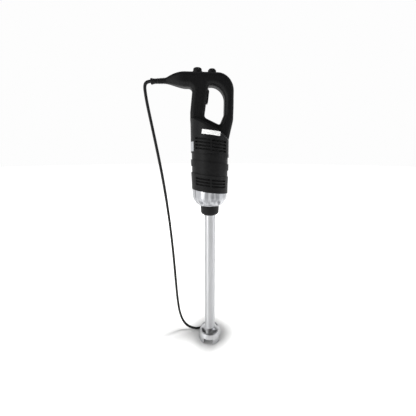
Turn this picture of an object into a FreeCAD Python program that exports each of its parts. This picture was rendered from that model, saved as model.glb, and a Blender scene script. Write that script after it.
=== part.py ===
import FreeCAD, Part
import math
import os
import Sketcher
from types import SimpleNamespace

# Hand-held stick blender for a professional kitchen: a motor head with a closed
# D-handle, a removable steel shaft and a four-legged blade guard.
# Millimetres. The origin is on the shaft's axis in the plane of the guard's feet,
# +Z runs up the shaft, the finger hole opens along Y and the lead leaves towards -X.
# Pieces of the motor head are drawn from the bottom face of the motor flange, and
# their Placement lifts them to that level.

SIZES = {
    # blade guard and shaft
    "guard_height": 30, "guard_foot_radius": 33, "guard_rim_radius": 29, "guard_wall": 2.4,
    "notch_height": 17, "notch_width": 26.8, "guard_turn": -14, "rib_width": 7,
    "hub_radius": 14.5, "hub_bottom": 24, "spigot_depth": 10, "spoke_drop": 3,
    "tube_base": 43, "tube_length": 378, "tube_radius": 15, "tube_wall": 1.5,
    "shaft_radius": 4, "running_gap": 0.05, "bush_radius": 8, "seal_height": 4.5,
    "lower_bush_length": 14, "middle_bush_length": 12, "middle_bush_level": 215,
    "blade_level": 12, "blade_thick": 2, "blade_reach": 23, "blade_width": 8, "blade_rise": 6,
    "washer_radius": 5, "washer_thick": 1, "screw_head_radius": 4.2, "screw_head": 3.5,
    "blade_screw_radius": 2.4, "thread_gap": 0.1,
    # joint between shaft and motor head
    "head_drop": 22.5, "head_flange": 4.5, "head_flange_radius": 19.4, "head_plug": 13.5,
    "head_boss": 4.5, "head_boss_radius": 15.6, "upper_bush_radius": 8.5,
    "upper_bush_length": 14, "dog_recess_radius": 10,
    "spigot_radius": 19.7, "spigot_bore": 16, "spigot_length": 18,
    "collar_radius": 24.5, "collar_length": 27,
    "collar_lip_gap": 0.5, "collar_top_gap": 0.4, "collar_toe": 2.5,
    "dog_radius": 9, "dog_base": 5.3, "tongue_thick": 4, "tongue_width": 14,
    "tongue_height": 6.7, "tongue_gap": 0.3, "drive_dog_radius": 10,
    "drive_dog_length": 10, "dog_top_gap": 1.5,
    # motor flange
    "flange_height": 49, "flange_wall": 3.2, "flange_radius": 45.5, "register_radius": 42.3,
    "skirt_level": 37, "styling_tilt": 7.2,
    "bearing_seat": 3, "lower_bearing_radius": 14, "lower_bearing_height": 9,
    "flange_screw_circle": 38.5, "flange_screw_turn": 60, "flange_post_radius": 5.6,
    "flange_seat_level": 26, "flange_screw_radius": 1.7, "flange_screw_head": 3.3,
    # housing barrel
    "foot_radius": 46, "belly_radius": 47, "barrel_radius": 46.5, "barrel_bore": 42.5,
    "groove_depth": 2.2, "groove_one": 109, "groove_two": 78, "groove_height": 15.5,
    "shoulder_level": 190, "shoulder_tilt": 28.8, "shoulder_wall": 6, "shoulder_bevel": 6,
    "vent_reach": 36, "vent_rib": 4, "vent_height": 4, "vent_pitch": 7.2,
    "lower_vent": 53.3, "upper_vent": 136.8,
    "badge_level": 174, "badge_half": 21, "badge_height": 9.5, "badge_thick": 0.6,
    "label_level": 134, "label_height": 22, "label_edge": 40, "label_thick": 0.4,
    # handle
    "handle_half": 17, "handle_round": 10, "bar_top": 306, "bar_depth": 31.2, "hole_ceiling": 278.3,
    "grip_back": 46.8, "fore_reach": 55.5, "hole_front": 33.9, "hole_floor": 194.5,
    "room_half": 12, "room_floor": 283.5, "room_roof": 300.5, "nose_tip": 98.8,
    "nose_join": 58, "nose_centre": 288.65, "nose_tip_radius": 6.4,
    # controls
    "dial_place": -28, "dial_radius": 10.2, "dial_height": 6.4, "dial_gap": 0.5,
    "dial_boss_radius": 11.6, "boss_height": 2.3, "dial_shaft_radius": 3,
    "button_place": 5, "button_radius": 7.1, "button_gap": 0.35, "button_travel": 2.5,
    "button_boss_radius": 9.4, "button_boss_height": 5.5, "button_height": 7.8,
    "button_stem": 2.5, "button_floor": 303,
    "trigger_half": 5.5, "trigger_gap": 0.4, "pivot_x": -13.5, "pivot_level": 244.5,
    "pivot_radius": 1.5,
    # motor
    "rotor_shaft_radius": 6, "rotor_top_radius": 4, "rotor_radius": 22, "air_gap": 0.6,
    "core_bottom": 70, "core_height": 42, "stator_flat": 36, "stator_bore": 31,
    "pole_half": 18, "coil_inner": 23.5, "coil_outer": 30.5, "coil_overhang": 10.5,
    "winding_height": 12, "winding_radius": 20, "slot_radius": 2.2, "slot_circle": 17.5,
    "slots": 12, "commutator_bottom": 127, "commutator_height": 14, "commutator_radius": 11,
    "fan_bottom": 17, "fan_height": 12, "fan_radius": 30, "fan_blades": 10, "fan_disc": 2,
    "bracket_level": 146, "bracket_thick": 5, "bracket_seat": 12, "bracket_boss": 14,
    "upper_bearing_radius": 11, "upper_bearing_height": 7, "bolt_place": 38.5,
    "bolt_radius": 2, "brush_level": 134.5, "brush_wide": 6, "brush_tall": 9,
    "brush_length": 14, "holder_wall": 1.4, "holder_length": 24,
    # supply lead
    "boot_length": 35.2, "boot_root": 6.35, "boot_waist": 5.4, "boot_end": 6.5,
    "boot_neck_radius": 4.8, "boot_neck": 10.8, "boot_flange_radius": 5.9,
    "boot_flange": 3, "boot_droop": 3.1, "cord_radius": 3.5,
    "hank_start": 45, "hank_length": 108, "hank_half": 11.5, "hank_height": 22,
    "hank_corner": 8, "hank_turn": -4, "tie_width": 8, "tie_thick": 1, "plug_loop": 12,
    "plug_radius": 13, "plug_grip": 22, "plug_taper": 18, "plug_neck": 6,
    "pin_radius": 2.4, "pin_length": 19, "pin_spacing": 19,
}

doc = FreeCAD.newDocument("StickBlender")
V = FreeCAD.Vector


class Size:
    """A length, with the expression that gives it from the sheet."""

    def __init__(self, value, text):
        self.value = value
        self.text = text

    def __add__(self, other):
        return Size(self.value + plain(other), "(%s + %s)" % (self.text, words(other)))

    def __radd__(self, other):
        return Size(plain(other) + self.value, "(%s + %s)" % (words(other), self.text))

    def __sub__(self, other):
        return Size(self.value - plain(other), "(%s - %s)" % (self.text, words(other)))

    def __rsub__(self, other):
        return Size(plain(other) - self.value, "(%s - %s)" % (words(other), self.text))

    def __mul__(self, other):
        return Size(self.value * plain(other), "(%s * %s)" % (self.text, words(other)))

    __rmul__ = __mul__

    def __truediv__(self, other):
        return Size(self.value / plain(other), "(%s / %s)" % (self.text, words(other)))

    def __neg__(self):
        return Size(-self.value, "(0 - %s)" % self.text)


def plain(size):
    return size.value if isinstance(size, Size) else float(size)


def words(size):
    return size.text if isinstance(size, Size) else "(%.6f)" % size


def tangent(angle):
    return Size(math.tan(math.radians(angle.value)), "tan(%s * 1 deg)" % angle.text)


def fill_sheet():
    sheet = doc.addObject("Spreadsheet::Sheet", "Dim")
    for row, (name, value) in enumerate(SIZES.items(), start=1):
        sheet.set("A%d" % row, name)
        sheet.set("B%d" % row, str(value))
        sheet.setAlias("B%d" % row, name)
    doc.recompute()
    return SimpleNamespace(**{name: Size(float(value), "Dim." + name) for name, value in SIZES.items()})


dim = fill_sheet()
motor_level = dim.tube_base + dim.tube_length
styling_slope = tangent(dim.styling_tilt)
shoulder_slope = tangent(dim.shoulder_tilt)
nodes = {}
drawn_level = {}


def bind(thing, name, size):
    """Give a property its size: an expression where the sheet has a say in it."""
    if isinstance(size, Size):
        thing.setExpression(name, size.text)
    elif name.startswith("Placement."):
        thing.setExpression(name, "%.6f" % size)
    else:
        setattr(thing, name, size)


def place(thing, x=0, y=0, z=0):
    drawn_level[thing.Name] = z
    for name, size in (("x", x), ("y", y), ("z", z)):
        if isinstance(size, Size) or size != 0:
            bind(thing, "Placement.Base." + name, size)
    return thing


def sub_part(name, thing, level=0):
    """Name a finished piece as a node of its own, lifted to its level."""
    thing.Label = name
    if isinstance(level, Size) or level != 0:
        bind(thing, "Placement.Base.z", level + drawn_level.get(thing.Name, 0))
    nodes[name] = thing
    return thing


def in_head(name, thing):
    return sub_part(name, thing, motor_level)


# ---- Part primitives and booleans ----

def cylinder(name, radius, height, x=0, y=0, z=0):
    thing = doc.addObject("Part::Cylinder", name)
    bind(thing, "Radius", radius)
    bind(thing, "Height", height)
    return place(thing, x, y, z)


def rod(name, radius, length, x=0, y=0, z=0, along="y"):
    """A cylinder lying along +X or +Y from its starting point."""
    thing = cylinder(name, radius, length, x, y, z)
    turn = FreeCAD.Rotation(V(0, 1, 0), 90) if along == "x" else FreeCAD.Rotation(V(1, 0, 0), -90)
    thing.Placement.Rotation = turn
    return thing


def box(name, low, high):
    thing = doc.addObject("Part::Box", name)
    for side, start, end in zip(("Length", "Width", "Height"), low, high):
        bind(thing, side, end - start)
    return place(thing, *low)


def tilted_slab(name, half_x, low_y, high_y, level, height):
    """A box whose middle lies at a level on the axis, sloping down towards +X."""
    thing = box(name, (-half_x, low_y, level - height / 2), (half_x, high_y, level + height / 2))
    slope = dim.styling_tilt
    thing.setExpression("Placement.Rotation.Axis.y", "1")
    thing.setExpression("Placement.Rotation.Axis.z", "0")
    thing.setExpression("Placement.Rotation.Angle", slope.text)
    # the turn is about the box's own corner, so the corner moves to keep the middle in place
    angle = math.radians(slope.value)
    centre_x = plain(half_x)
    centre_z = plain(height) / 2
    shift_x = centre_x - (centre_x * math.cos(angle) + centre_z * math.sin(angle))
    shift_z = centre_z - (centre_z * math.cos(angle) - centre_x * math.sin(angle))
    bind(thing, "Placement.Base.x", shift_x - half_x)
    bind(thing, "Placement.Base.z", level - height / 2 + shift_z)
    return thing


def cut(name, base, tool):
    thing = doc.addObject("Part::Cut", name)
    thing.Base = base
    thing.Tool = tool
    return thing


def common(name, first, second):
    thing = doc.addObject("Part::Common", name)
    thing.Base = first
    thing.Tool = second
    return thing


def fuse(name, pieces):
    thing = doc.addObject("Part::MultiFuse", name)
    thing.Shapes = pieces
    return thing


def join_in_turn(name, pieces):
    """Fuse pieces one after another, each onto the result so far."""
    whole = pieces[0]
    for spot, piece in enumerate(pieces[1:], start=1):
        joined = doc.addObject("Part::Fuse", "%s_%d" % (name, spot))
        joined.Base = whole
        joined.Tool = piece
        joined.Refine = False
        whole = joined
    return whole


def cut_in_turn(name, base, tools):
    """Cut tools away one after another."""
    whole = base
    for spot, tool in enumerate(tools, start=1):
        whole = cut("%s_%d" % (name, spot), whole, tool)
        whole.Refine = False
    return whole


def group(name, pieces):
    thing = doc.addObject("Part::Compound", name)
    thing.Links = pieces
    return thing


def ring(name, outer, inner, height, z=0):
    """A bush, bearing or washer about the main axis."""
    wall = cylinder(name + "_wall", outer, height, z=z)
    hole = cylinder(name + "_hole", inner, height + 2, z=z - 1)
    return cut(name, wall, hole)


def coil_spring(name, radius, wire, turns, length):
    """A compression spring about its own Z axis: a round wire swept along a helix."""
    helix = doc.addObject("Part::Helix", name + "_helix")
    helix.Radius = radius
    helix.Height = length - 2 * wire
    helix.Pitch = (length - 2 * wire) / turns
    section = doc.addObject("Part::Circle", name + "_wire")
    section.Radius = wire
    section.Placement = FreeCAD.Placement(V(radius, 0, 0), FreeCAD.Rotation(V(1, 0, 0), 90))
    spring = doc.addObject("Part::Sweep", name)
    spring.Sections = [section]
    spring.Spine = (helix, ["Edge1"])
    spring.Solid = True
    spring.Frenet = True
    return spring


# ---- PartDesign features ----

def new_body(name):
    return doc.addObject("PartDesign::Body", name)


def new_sketch(body, name, role, offset=0):
    sketch = body.newObject("Sketcher::SketchObject", name)
    plane = [item for item in body.Origin.OriginFeatures if item.Role == role][0]
    sketch.AttachmentSupport = [(plane, "")]
    sketch.MapMode = "FlatFace"
    if isinstance(offset, Size) or offset != 0:
        if isinstance(offset, Size):
            sketch.setExpression("AttachmentOffset.Base.z", offset.text)
        else:
            sketch.AttachmentOffset = FreeCAD.Placement(V(0, 0, offset), FreeCAD.Rotation())
    return sketch


def pin_point(sketch, line, point):
    """Hold the start of a line at its two distances from the sketch's origin."""
    for axis, kind, size in ((-2, "DistanceX", point[0]), (-1, "DistanceY", point[1])):
        if abs(plain(size)) < 1e-9:
            sketch.addConstraint(Sketcher.Constraint("PointOnObject", line, 1, axis))
            continue
        number = sketch.addConstraint(Sketcher.Constraint(kind, -1, 1, line, 1, plain(size)))
        if isinstance(size, Size):
            sketch.setExpression("Constraints[%d]" % number, size.text)


def draw_loop(sketch, points):
    """A closed outline of straight lines through the points."""
    first = sketch.GeometryCount
    spots = [V(plain(x), plain(y), 0) for x, y in points]
    count = len(spots)
    for start, end in zip(spots, spots[1:] + spots[:1]):
        sketch.addGeometry(Part.LineSegment(start, end))
    for step in range(count):
        sketch.addConstraint(
            Sketcher.Constraint("Coincident", first + step, 2, first + (step + 1) % count, 1))
    for step, point in enumerate(points):
        pin_point(sketch, first + step, point)


def draw_circle(sketch, x, y, radius):
    number = sketch.addGeometry(Part.Circle(V(plain(x), plain(y), 0), V(0, 0, 1), plain(radius)))
    limit = sketch.addConstraint(Sketcher.Constraint("Radius", number, plain(radius)))
    if isinstance(radius, Size):
        sketch.setExpression("Constraints[%d]" % limit, radius.text)
    for axis, kind, size in ((-2, "DistanceX", x), (-1, "DistanceY", y)):
        if abs(plain(size)) < 1e-9:
            sketch.addConstraint(Sketcher.Constraint("PointOnObject", number, 3, axis))
            continue
        held = sketch.addConstraint(Sketcher.Constraint(kind, -1, 1, number, 3, plain(size)))
        if isinstance(size, Size):
            sketch.setExpression("Constraints[%d]" % held, size.text)


def turned(name, points):
    """A body turned about the main axis from a half section of radius and height."""
    body = new_body(name)
    sketch = new_sketch(body, name + "_section", "XZ_Plane")
    draw_loop(sketch, points)
    turn = body.newObject("PartDesign::Revolution", name + "_turned")
    turn.Profile = sketch
    turn.ReferenceAxis = (sketch, ["V_Axis"])
    turn.Angle = 360
    doc.recompute()
    return body


def volume_of(body):
    return body.Shape.Volume


def pad_loops(body, name, loops, half):
    """A side outline padded equally to both sides of the split plane."""
    sketch = new_sketch(body, name + "_outline", "XZ_Plane")
    for loop in loops:
        draw_loop(sketch, loop)
    pad = body.newObject("PartDesign::Pad", name)
    pad.Profile = sketch
    pad.SideType = "Symmetric"
    bind(pad, "Length", half * 2)
    doc.recompute()
    return pad


def slab(name, points, half):
    """A plate of the given side outline, padded both ways from the split plane."""
    body = new_body(name)
    pad_loops(body, name + "_pad", [points], half)
    return body


def pocket_both_ways(body, name, draw, plane="XZ_Plane", reach=200):
    """Cut a sketched outline right through, and make sure that it took material away."""
    before = volume_of(body)
    sketch = new_sketch(body, name + "_outline", plane)
    draw(sketch)
    pocket = body.newObject("PartDesign::Pocket", name)
    pocket.Profile = sketch
    pocket.SideType = "Symmetric"
    pocket.Length = reach
    doc.recompute()
    if volume_of(body) > before - 0.01:
        raise RuntimeError(name + " cuts nothing")
    return pocket


def pocket_one_way(body, name, draw, plane, start, depth, reverse=False):
    before = volume_of(body)
    sketch = new_sketch(body, name + "_outline", plane, start)
    draw(sketch)
    pocket = body.newObject("PartDesign::Pocket", name)
    pocket.Profile = sketch
    bind(pocket, "Length", depth)
    pocket.Reversed = reverse
    doc.recompute()
    if volume_of(body) > before - 0.01:
        raise RuntimeError(name + " cuts nothing")
    return pocket


def repeat_round(body, name, feature, count):
    pattern = body.newObject("PartDesign::PolarPattern", name)
    pattern.Originals = [feature]
    axis = [item for item in body.Origin.OriginFeatures if item.Role == "Z_Axis"][0]
    pattern.Axis = (axis, [""])
    pattern.Angle = 360
    pattern.Occurrences = int(plain(count))
    body.Tip = pattern
    doc.recompute()
    return pattern


def round_edges(body, name, base, chosen, radius):
    """Round the chosen edges of a feature; chosen tells from an edge whether it is one."""
    names = ["Edge%d" % (spot + 1) for spot, edge in enumerate(base.Shape.Edges) if chosen(edge)]
    if not names:
        raise RuntimeError(name + " finds no edge")
    rounding = body.newObject("PartDesign::Fillet", name)
    rounding.Base = (base, names)
    bind(rounding, "Radius", radius)
    doc.recompute()
    return rounding


# ---- shaft ----

def make_guard():
    """Cast bell: hub, four ribs down to a ring, and four legs between square notches."""
    rib_under = dim.hub_bottom + dim.guard_wall
    body = turned("guard_bell", [
        (dim.bush_radius, dim.hub_bottom),
        (dim.hub_radius, dim.hub_bottom),
        (dim.guard_rim_radius - dim.guard_wall, dim.guard_height - 4.5),
        (dim.guard_foot_radius - dim.guard_wall, 0),
        (dim.guard_foot_radius, 0),
        (dim.guard_foot_radius - 0.4, dim.notch_height),
        (dim.guard_rim_radius, dim.guard_height),
        (dim.guard_rim_radius - 2, dim.guard_height),
        (dim.hub_radius, dim.tube_base - dim.spoke_drop),
        (dim.hub_radius, dim.tube_base),
        (dim.tube_radius - dim.tube_wall, dim.tube_base),
        (dim.tube_radius - dim.tube_wall, dim.tube_base + dim.spigot_depth),
        (dim.shaft_radius + 1, dim.tube_base + dim.spigot_depth),
        (dim.shaft_radius + 1, rib_under + dim.seal_height + dim.lower_bush_length),
        (dim.bush_radius, rib_under + dim.seal_height + dim.lower_bush_length),
    ])

    def notch(sketch):
        half = dim.notch_width / 2
        draw_loop(sketch, [(-half, -1), (half, -1), (half, dim.notch_height), (-half, dim.notch_height)])

    first = pocket_one_way(body, "leg_notch", notch, "XZ_Plane", 0, dim.guard_foot_radius + 5)
    repeat_round(body, "leg_notches", first, 4)

    def window(sketch):
        inner = dim.hub_radius + 0.6
        outer = dim.guard_rim_radius - dim.guard_wall - 0.3
        gap = dim.rib_width * 0.7
        draw_loop(sketch, [(inner * 0.5 + gap, inner * 0.5 + gap), (outer * 0.93, gap),
                           (outer * 0.8, outer * 0.6), (outer * 0.6, outer * 0.8), (gap, outer * 0.93)])

    second = pocket_one_way(body, "top_window", window, "XY_Plane", dim.guard_height - 8, 14, True)
    repeat_round(body, "top_windows", second, 4)
    bind(body, "Placement.Rotation.Angle", dim.guard_turn)
    body.setExpression("Placement.Rotation.Axis.z", "1")
    sub_part("blade_guard", body)


def make_shaft():
    seal_base = dim.hub_bottom + dim.guard_wall
    bush_base = seal_base + dim.seal_height
    inside = dim.tube_radius - dim.tube_wall
    bore = dim.shaft_radius + dim.running_gap
    sub_part("shaft_tube", ring("tube", dim.tube_radius, inside,
                                dim.tube_length - dim.head_drop, dim.tube_base))
    sub_part("lip_seal", ring("seal", dim.bush_radius, bore, dim.seal_height, seal_base))
    sub_part("lower_bush", ring("bush_low", dim.bush_radius, bore, dim.lower_bush_length, bush_base))
    sub_part("middle_bush", ring("bush_mid", inside, bore, dim.middle_bush_length, dim.middle_bush_level))
    sub_part("upper_bush", ring("bush_top", dim.upper_bush_radius, bore, dim.upper_bush_length,
                                -dim.head_drop + dim.head_flange - 0.5 - dim.upper_bush_length), motor_level)


def make_tube_head():
    """Turned head pressed into the tube: its flange is what the collar nut pulls up."""
    bottom = -dim.head_drop - dim.head_plug
    under = -dim.head_drop
    top = under + dim.head_flange
    floor = top - 0.5
    head = turned("head_turned", [
        (dim.shaft_radius + 2, bottom),
        (dim.tube_radius - dim.tube_wall, bottom),
        (dim.tube_radius - dim.tube_wall, under),
        (dim.head_flange_radius, under),
        (dim.head_flange_radius, top),
        (dim.head_boss_radius, top),
        (dim.head_boss_radius, top + dim.head_boss),
        (dim.dog_recess_radius, top + dim.head_boss),
        (dim.dog_recess_radius, floor),
        (dim.upper_bush_radius, floor),
        (dim.upper_bush_radius, floor - dim.upper_bush_length),
        (dim.shaft_radius + 2, floor - dim.upper_bush_length),
    ])
    in_head("tube_head", head)


def make_collar():
    bottom = -dim.collar_length
    bore = dim.spigot_radius + 0.3
    shoulder = -dim.head_drop - dim.collar_lip_gap
    collar = turned("collar_turned", [
        (dim.tube_radius + 0.5, bottom),
        (dim.collar_radius - 7, bottom),
        (dim.collar_radius - 3, bottom + dim.collar_toe),
        (dim.collar_radius - 1, bottom + dim.collar_toe + 3.5),
        (dim.collar_radius, -dim.collar_top_gap - 1),
        (dim.collar_radius - 1, -dim.collar_top_gap),
        (bore, -dim.collar_top_gap),
        (bore, shoulder),
        (dim.tube_radius + 0.5, shoulder),
    ])
    in_head("collar_nut", collar)


def make_blade():
    low = dim.blade_level
    high = low + dim.blade_thick
    reach = dim.blade_reach
    bend = reach - 9

    def arms(name, rise):
        return slab(name, [
            (-reach, low + rise), (-bend, low), (bend, low), (reach, low + rise),
            (reach - 1, high + rise), (bend - 0.6, high), (0.6 - bend, high), (1 - reach, high + rise),
        ], dim.blade_width / 2)

    raised = arms("raised_arms", dim.blade_rise)
    lowered = arms("lowered_arms", -dim.blade_rise * 0.6)
    lowered.Placement.Rotation = FreeCAD.Rotation(V(0, 0, 1), 90)
    hub = cylinder("blade_hub", dim.blade_width * 0.9, dim.blade_thick, z=low)
    blank = fuse("blade_blank", [raised, lowered, hub])
    hole = cylinder("blade_hole", dim.blade_screw_radius, dim.blade_thick + 4, z=low - 2)
    sub_part("blade", cut("blade_cut", blank, hole))
    sub_part("blade_washer", ring("washer", dim.washer_radius, dim.blade_screw_radius,
                                  dim.washer_thick, low - dim.washer_thick))
    head_base = low - dim.washer_thick - dim.screw_head
    head = cylinder("blade_screw_head", dim.screw_head_radius, dim.screw_head, z=head_base)
    shank = cylinder("blade_screw_shank", dim.blade_screw_radius, dim.screw_head + 11, z=head_base)
    socket = cylinder("blade_screw_socket", dim.blade_screw_radius * 0.8, 1.8, z=head_base)
    whole = fuse("blade_screw_blank", [head, shank])
    sub_part("blade_screw", cut("blade_screw_cut", whole, socket))


def make_drive_shaft():
    """Slim inner shaft with the blade clamped below and a tongued coupling dog on top."""
    low = dim.blade_level + dim.blade_thick
    dog_top = motor_level - dim.head_drop + dim.head_flange + 0.5 + dim.dog_base
    rod_top = dog_top - 1
    blank = cylinder("drive_rod", dim.shaft_radius, rod_top - low, z=low)
    hole = cylinder("drive_rod_hole", dim.blade_screw_radius + dim.thread_gap, 10, z=low - 0.5)
    sub_part("inner_drive_shaft", cut("drive_rod_cut", blank, hole))
    base = dog_top - dim.dog_base
    disc = cylinder("dog_disc", dim.dog_radius, dim.dog_base, z=base)
    half_long = dim.tongue_width / 2
    half_thin = dim.tongue_thick / 2
    tongue = box("dog_tongue", (-half_long, -half_thin, dog_top - 0.5),
                 (half_long, half_thin, dog_top + dim.tongue_height))
    socket = cylinder("dog_socket", dim.shaft_radius, dim.dog_base - 1 + 1, z=base - 1)
    solid = fuse("dog_blank", [disc, tongue])
    sub_part("driven_dog", cut("dog_cut", solid, socket))


# ---- motor flange and housing ----

def flange_screw_spots():
    """Two screws on the front half and two on the back, mirrored about both planes."""
    angle = math.radians(dim.flange_screw_turn.value)
    across = dim.flange_screw_circle * math.cos(angle)
    deep = dim.flange_screw_circle * math.sin(angle)
    return [(side * across, face * deep) for side in (-1, 1) for face in (-1, 1)]


def make_flange():
    """Die-cast bowl: threaded spigot, bearing seat, screw posts and a register for the shells."""
    outer = dim.flange_radius
    wall = dim.flange_wall
    seat_top = dim.bearing_seat + dim.lower_bearing_height
    body = turned("flange_bowl", [
        (dim.spigot_bore, -dim.spigot_length),
        (dim.spigot_radius, -dim.spigot_length),
        (dim.spigot_radius, 0),
        (outer - 15.5, 0),
        (outer - 8.5, 6),
        (outer - 5.5, 11),
        (outer - 2.2, 16),
        (outer - 0.7, 22),
        (outer, 37),
        (outer, dim.flange_height),
        (outer - 4 - wall, dim.flange_height),
        (outer - 4 - wall, 18),
        (outer - 9 - wall, 11),
        (outer - 15 - wall, 4.5),
        (dim.lower_bearing_radius + 4, 3.5),
        (dim.lower_bearing_radius + 4, seat_top + 1),
        (dim.lower_bearing_radius, seat_top + 1),
        (dim.lower_bearing_radius, dim.bearing_seat),
        (dim.rotor_shaft_radius + 3, dim.bearing_seat),
        (dim.rotor_shaft_radius + 3, -0.5),
        (dim.spigot_bore, -0.5),
    ])
    posts = []
    holes = []
    for spot, (x, y) in enumerate(flange_screw_spots()):
        posts.append(cylinder("flange_post_%d" % spot, dim.flange_post_radius, 32, x, y, 14))
        holes.append(cylinder("flange_hole_%d" % spot, dim.flange_screw_radius + 0.2, 60, x, y, 0))
        holes.append(cylinder("flange_sink_%d" % spot, dim.flange_screw_head + 0.4,
                              dim.flange_seat_level + 20, x, y, -20))
    for side in (-1, 1):
        place_x = side * dim.bolt_place
        posts.append(cylinder("bolt_lug_%d" % (side + 1), dim.bolt_radius + 3, 26, place_x, 0, 20))
        holes.append(cylinder("bolt_hole_%d" % (side + 1), dim.bolt_radius, 20, place_x, 0, 30))
    solid = fuse("flange_with_posts", [body] + posts)
    drilled = cut("flange_drilled", solid, fuse("flange_holes", holes))
    # the shells sit over a step whose edge follows the sloping styling line
    above = slab("above_skirt", [
        (-70, dim.skirt_level + 70 * styling_slope), (70, dim.skirt_level - 70 * styling_slope),
        (70, 120), (-70, 120)], 70)
    skin = ring("flange_skin", 60, dim.register_radius, 160, -20)
    step = common("flange_step", skin, above)
    in_head("motor_flange", cut("flange_finished", drilled, step))


def make_flange_screws():
    screws = []
    for spot, (x, y) in enumerate(flange_screw_spots()):
        head = cylinder("fs_head_%d" % spot, dim.flange_screw_head, 2.6, x, y, dim.flange_seat_level - 2.6)
        shank = cylinder("fs_shank_%d" % spot, dim.flange_screw_radius, 37, x, y,
                         dim.flange_seat_level - 2.6)
        screws.append(fuse("flange_screw_%d" % spot, [head, shank]))
    in_head("flange_screws", group("flange_screw_set", screws))


def barrel_form():
    """Outer form of the barrel, cut to the sloping skirt line below and the shoulder above."""
    body = turned("barrel", [
        (0, 20), (dim.foot_radius, 20), (dim.foot_radius, 52), (dim.belly_radius, 80),
        (dim.belly_radius, 126), (dim.barrel_radius, 129), (dim.barrel_radius, 240), (0, 240)])

    def below_skirt(sketch):
        draw_loop(sketch, [
            (-70, dim.skirt_level + 70 * styling_slope), (-70, -40), (70, -40),
            (70, dim.skirt_level - 70 * styling_slope)])

    def above_shoulder(sketch):
        draw_loop(sketch, [
            (-70, dim.shoulder_level + 70 * shoulder_slope), (70, dim.shoulder_level - 70 * shoulder_slope),
            (70, 300), (-70, 300)])

    pocket_both_ways(body, "skirt_cut", below_skirt)
    top = pocket_both_ways(body, "shoulder_cut", above_shoulder)

    def shoulder_edge(edge):
        span = edge.BoundBox
        return span.ZMin > dim.shoulder_level.value - 50 and span.ZLength > 20 and span.XLength > 20

    names = ["Edge%d" % (spot + 1) for spot, edge in enumerate(top.Shape.Edges) if shoulder_edge(edge)]
    bevel = body.newObject("PartDesign::Chamfer", "shoulder_bevel")
    bevel.Base = (top, names)
    bind(bevel, "Size", dim.shoulder_bevel)
    doc.recompute()
    return body


def handle_form():
    """Closed D-handle: rear grip, top bar and slimmer front leg, with rounded edges."""
    top = dim.bar_top
    under = top - dim.bar_depth
    outer = [
        (-41, 150), (-dim.grip_back, 204), (0.4 - dim.grip_back, 222), (7 - dim.grip_back, under),
        (-dim.nose_join, under), (-dim.nose_join, top), (dim.fore_reach - 1, top),
        (dim.fore_reach, 235), (dim.fore_reach - 0.3, 205), (43, 150),
    ]
    hole = [
        (-13.4, 211), (23.5, dim.hole_floor), (dim.hole_front - 0.3, 218),
        (dim.hole_front, dim.hole_ceiling), (-3.6, dim.hole_ceiling),
    ]
    body = new_body("handle")
    pad = pad_loops(body, "handle_pad", [outer, hole], dim.handle_half)

    def corners(points):
        spots = [(plain(x), plain(z)) for x, z in points]

        def chosen(edge):
            ends = [vertex.Point for vertex in edge.Vertexes]
            if len(ends) != 2 or abs(ends[0].x - ends[1].x) + abs(ends[0].z - ends[1].z) > 1e-4:
                return False
            return any(abs(ends[0].x - x) + abs(ends[0].z - z) < 1e-3 for x, z in spots)

        return chosen

    step = round_edges(body, "fore_corner", pad, corners([outer[6]]), 38)
    step = round_edges(body, "hole_corner", step, corners([hole[3]]), 31)
    step = round_edges(body, "long_bends", step, corners([outer[1], outer[2], outer[7], outer[8]]), 40)
    step = round_edges(body, "nose_corner", step, corners([outer[3]]), 9)
    step = round_edges(body, "hole_bends", step, corners([hole[0], hole[2]]), 8)
    step = round_edges(body, "hole_small_bends", step, corners([hole[1], hole[4]]), 5)

    half = dim.handle_half.value
    low = 152

    def rims(edge):
        span = edge.BoundBox
        flat = abs(abs(span.YMin) - half) < 1e-3 and span.YLength < 1e-3
        at_join = span.XMax < 1e-3 - dim.nose_join.value
        return flat and not at_join and span.ZMax > low

    round_edges(body, "rim_rounding", step, rims, dim.handle_round)
    return body


def nose_form():
    """The top bar drawn out to the lead's outlet, through rounded sections."""
    top = plain(dim.bar_top)
    under = plain(dim.bar_top - dim.bar_depth)
    tip = plain(dim.nose_tip_radius)
    centre = plain(dim.nose_centre)
    sections = [
        (dim.nose_join, top, under, plain(dim.handle_half), plain(dim.handle_round)),
        (dim.nose_join + 14, top - 1.6, under + 2.2, 15.2, 9.6),
        (dim.nose_join + 26.5, centre + 12.4, centre - 8.9, 11.4, 8.2),
        (dim.nose_tip, centre + tip, centre - tip, tip, tip - 0.3),
    ]
    body = new_body("nose")
    drawn = []
    for number, (reach, high, low, half, corner) in enumerate(sections):
        sketch = new_sketch(body, "nose_section_%d" % number, "YZ_Plane", -reach)
        turn = corner * (1 - math.sqrt(0.5))
        path = [V(half - corner, high, 0), V(half - turn, high - turn, 0), V(half, high - corner, 0),
                V(half, low + corner, 0), V(half - turn, low + turn, 0), V(half - corner, low, 0)]
        mirror = [V(-spot.x, spot.y, 0) for spot in reversed(path)]
        spots = path + mirror
        for start in range(0, 12, 3):
            first, middle, last = spots[start:start + 3]
            sketch.addGeometry(Part.Arc(first, middle, last))
            sketch.addGeometry(Part.LineSegment(last, spots[(start + 3) % 12]))
        for item in range(8):
            sketch.addConstraint(Sketcher.Constraint("Block", item))
        drawn.append(sketch)
    loft = body.newObject("PartDesign::AdditiveLoft", "nose_loft")
    loft.Profile = drawn[0]
    loft.Sections = drawn[1:]
    loft.Ruled = False
    doc.recompute()
    return body


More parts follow.
